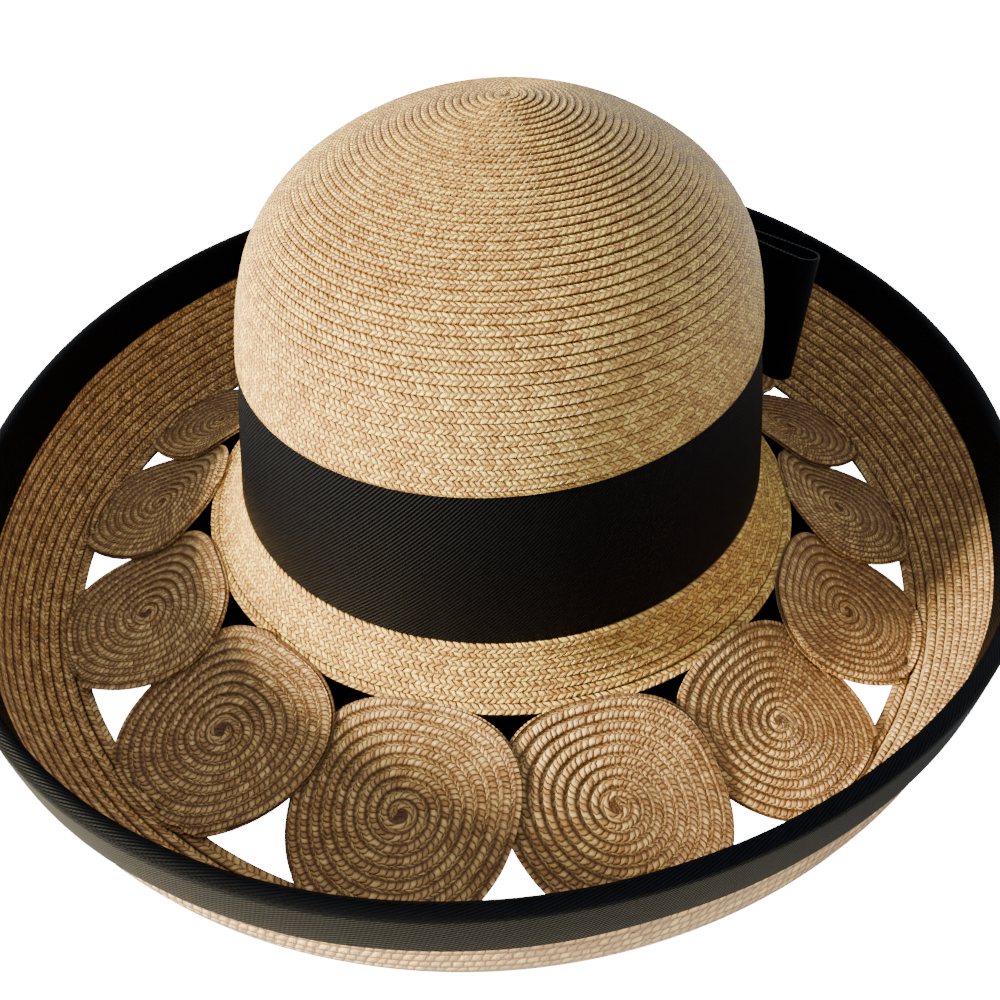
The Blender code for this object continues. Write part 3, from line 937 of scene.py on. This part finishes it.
studio = {
    "floor": (0.80, 0.80, 0.80),
    "shade": (0.012, 0.006, 0.003),
    "glow": 16.0,
    "sky": (0.88, 0.94, 1.0),
    "skyPower": 1.12,
    "key": {"place": (-52, 19.4, 1.15), "size": 0.24, "power": 92.0, "colour": (1.0, 0.89, 0.56)},
    "shadeSize": (0.118, 0.137, 0.006),
    "shadeBack": 0.010,
    "camera": (0.063454, -0.254196, 0.220693),
    "lens": 34.4127,
    "roll": 0.0316273,
}


def makeFloor():
    # a white floor, dark where it lies under the crown and gets no light
    bpy.ops.object.select_all(action="DESELECT")
    bpy.ops.mesh.primitive_plane_add(size=12.0, location=(0.0, 0.0, 0.0))
    floor = bpy.context.object
    floor.name = "floor"
    material = bpy.data.materials.new("paleFloor")
    material.use_nodes = True
    tree = material.node_tree
    shader = tree.nodes["Principled BSDF"]
    shader.inputs["Roughness"].default_value = 0.9
    place = addNode(tree, "ShaderNodeTexCoord")
    parts = addNode(tree, "ShaderNodeSeparateXYZ")
    tree.links.new(place.outputs["Object"], parts.inputs[0])
    wide, long, soft = studio["shadeSize"]
    squares = []
    for output, centre, half in ((parts.outputs[0], headCentre.x, wide),
                                 (parts.outputs[1], headCentre.y + studio["shadeBack"], long)):
        share = mathNode(tree, "DIVIDE", mathNode(tree, "SUBTRACT", output, centre), half)
        squares.append(mathNode(tree, "MULTIPLY", share, share))
    reach = mathNode(tree, "SQRT", mathNode(tree, "ADD", *squares))
    lit = addNode(tree, "ShaderNodeMapRange", interpolation_type="SMOOTHSTEP")
    tree.links.new(reach, lit.inputs["Value"])
    lit.inputs["From Min"].default_value = 1.0
    lit.inputs["From Max"].default_value = 1.0 + soft / wide
    tint = addNode(tree, "ShaderNodeMix", data_type="RGBA")
    tree.links.new(lit.outputs["Result"], tint.inputs["Factor"])
    tint.inputs["A"].default_value = (*studio["shade"], 1.0)
    tint.inputs["B"].default_value = (*studio["floor"], 1.0)
    tree.links.new(tint.outputs["Result"], shader.inputs["Base Color"])
    rays = addNode(tree, "ShaderNodeLightPath")
    shader.inputs["Emission Color"].default_value = (1.0, 1.0, 1.0, 1.0)
    seen = mathNode(tree, "MULTIPLY", rays.outputs["Is Camera Ray"], studio["glow"])
    white = mathNode(tree, "MULTIPLY", seen, lit.outputs["Result"])
    tree.links.new(white, shader.inputs["Emission Strength"])
    floor.data.materials.append(material)


def makeLight(name):
    light = studio[name]
    azimuth, elevation, distance = light["place"]
    azimuth, elevation = math.radians(azimuth), math.radians(elevation)
    towards = Vector((math.sin(azimuth) * math.cos(elevation), -math.cos(azimuth) * math.cos(elevation),
                      math.sin(elevation)))
    data = bpy.data.lights.new(name, "AREA")
    data.shape = "DISK"
    data.size = light["size"]
    data.energy = light["power"]
    data.color = light["colour"]
    lamp = bpy.data.objects.new(name, data)
    lamp.location = towards * distance + Vector((0.0, 0.0, 0.05))
    lamp.rotation_euler = towards.to_track_quat("Z", "Y").to_euler()
    bpy.context.scene.collection.objects.link(lamp)


def makeSky():
    world = bpy.data.worlds.new("studio")
    world.use_nodes = True
    tree = world.node_tree
    background = tree.nodes["Background"]
    rays = addNode(tree, "ShaderNodeLightPath")
    tint = addNode(tree, "ShaderNodeMix", data_type="RGBA")
    tree.links.new(rays.outputs["Is Camera Ray"], tint.inputs["Factor"])
    tint.inputs["A"].default_value = (*studio["sky"], 1.0)
    tint.inputs["B"].default_value = (1.0, 1.0, 1.0, 1.0)
    tree.links.new(tint.outputs["Result"], background.inputs["Color"])
    seen = mathNode(tree, "MULTIPLY", rays.outputs["Is Camera Ray"], studio["glow"])
    tree.links.new(mathNode(tree, "ADD", seen, studio["skyPower"]), background.inputs["Strength"])
    bpy.context.scene.world = world


def makeCamera():
    right = Vector((0.96890395, 0.24743715, 0.0))
    up = Vector((-0.15582075, 0.61015631, 0.77680703))
    forward = Vector((-0.19221092, 0.7526514, -0.6297387))
    c, s = math.cos(studio["roll"]), math.sin(studio["roll"])
    across, upward = right * c + up * s, up * c - right * s
    turned = Matrix((across, upward, -forward)).transposed().to_4x4()
    data = bpy.data.cameras.new("photoView")
    data.lens = studio["lens"]
    data.sensor_width = 36.0
    data.clip_start = 0.01
    camera = bpy.data.objects.new("photoView", data)
    camera.matrix_world = Matrix.Translation(Vector(studio["camera"]) + headCentre) @ turned
    bpy.context.scene.collection.objects.link(camera)
    bpy.context.scene.camera = camera


makeFloor()
makeLight("key")
makeSky()
makeCamera()
print("floor, light and camera ready")
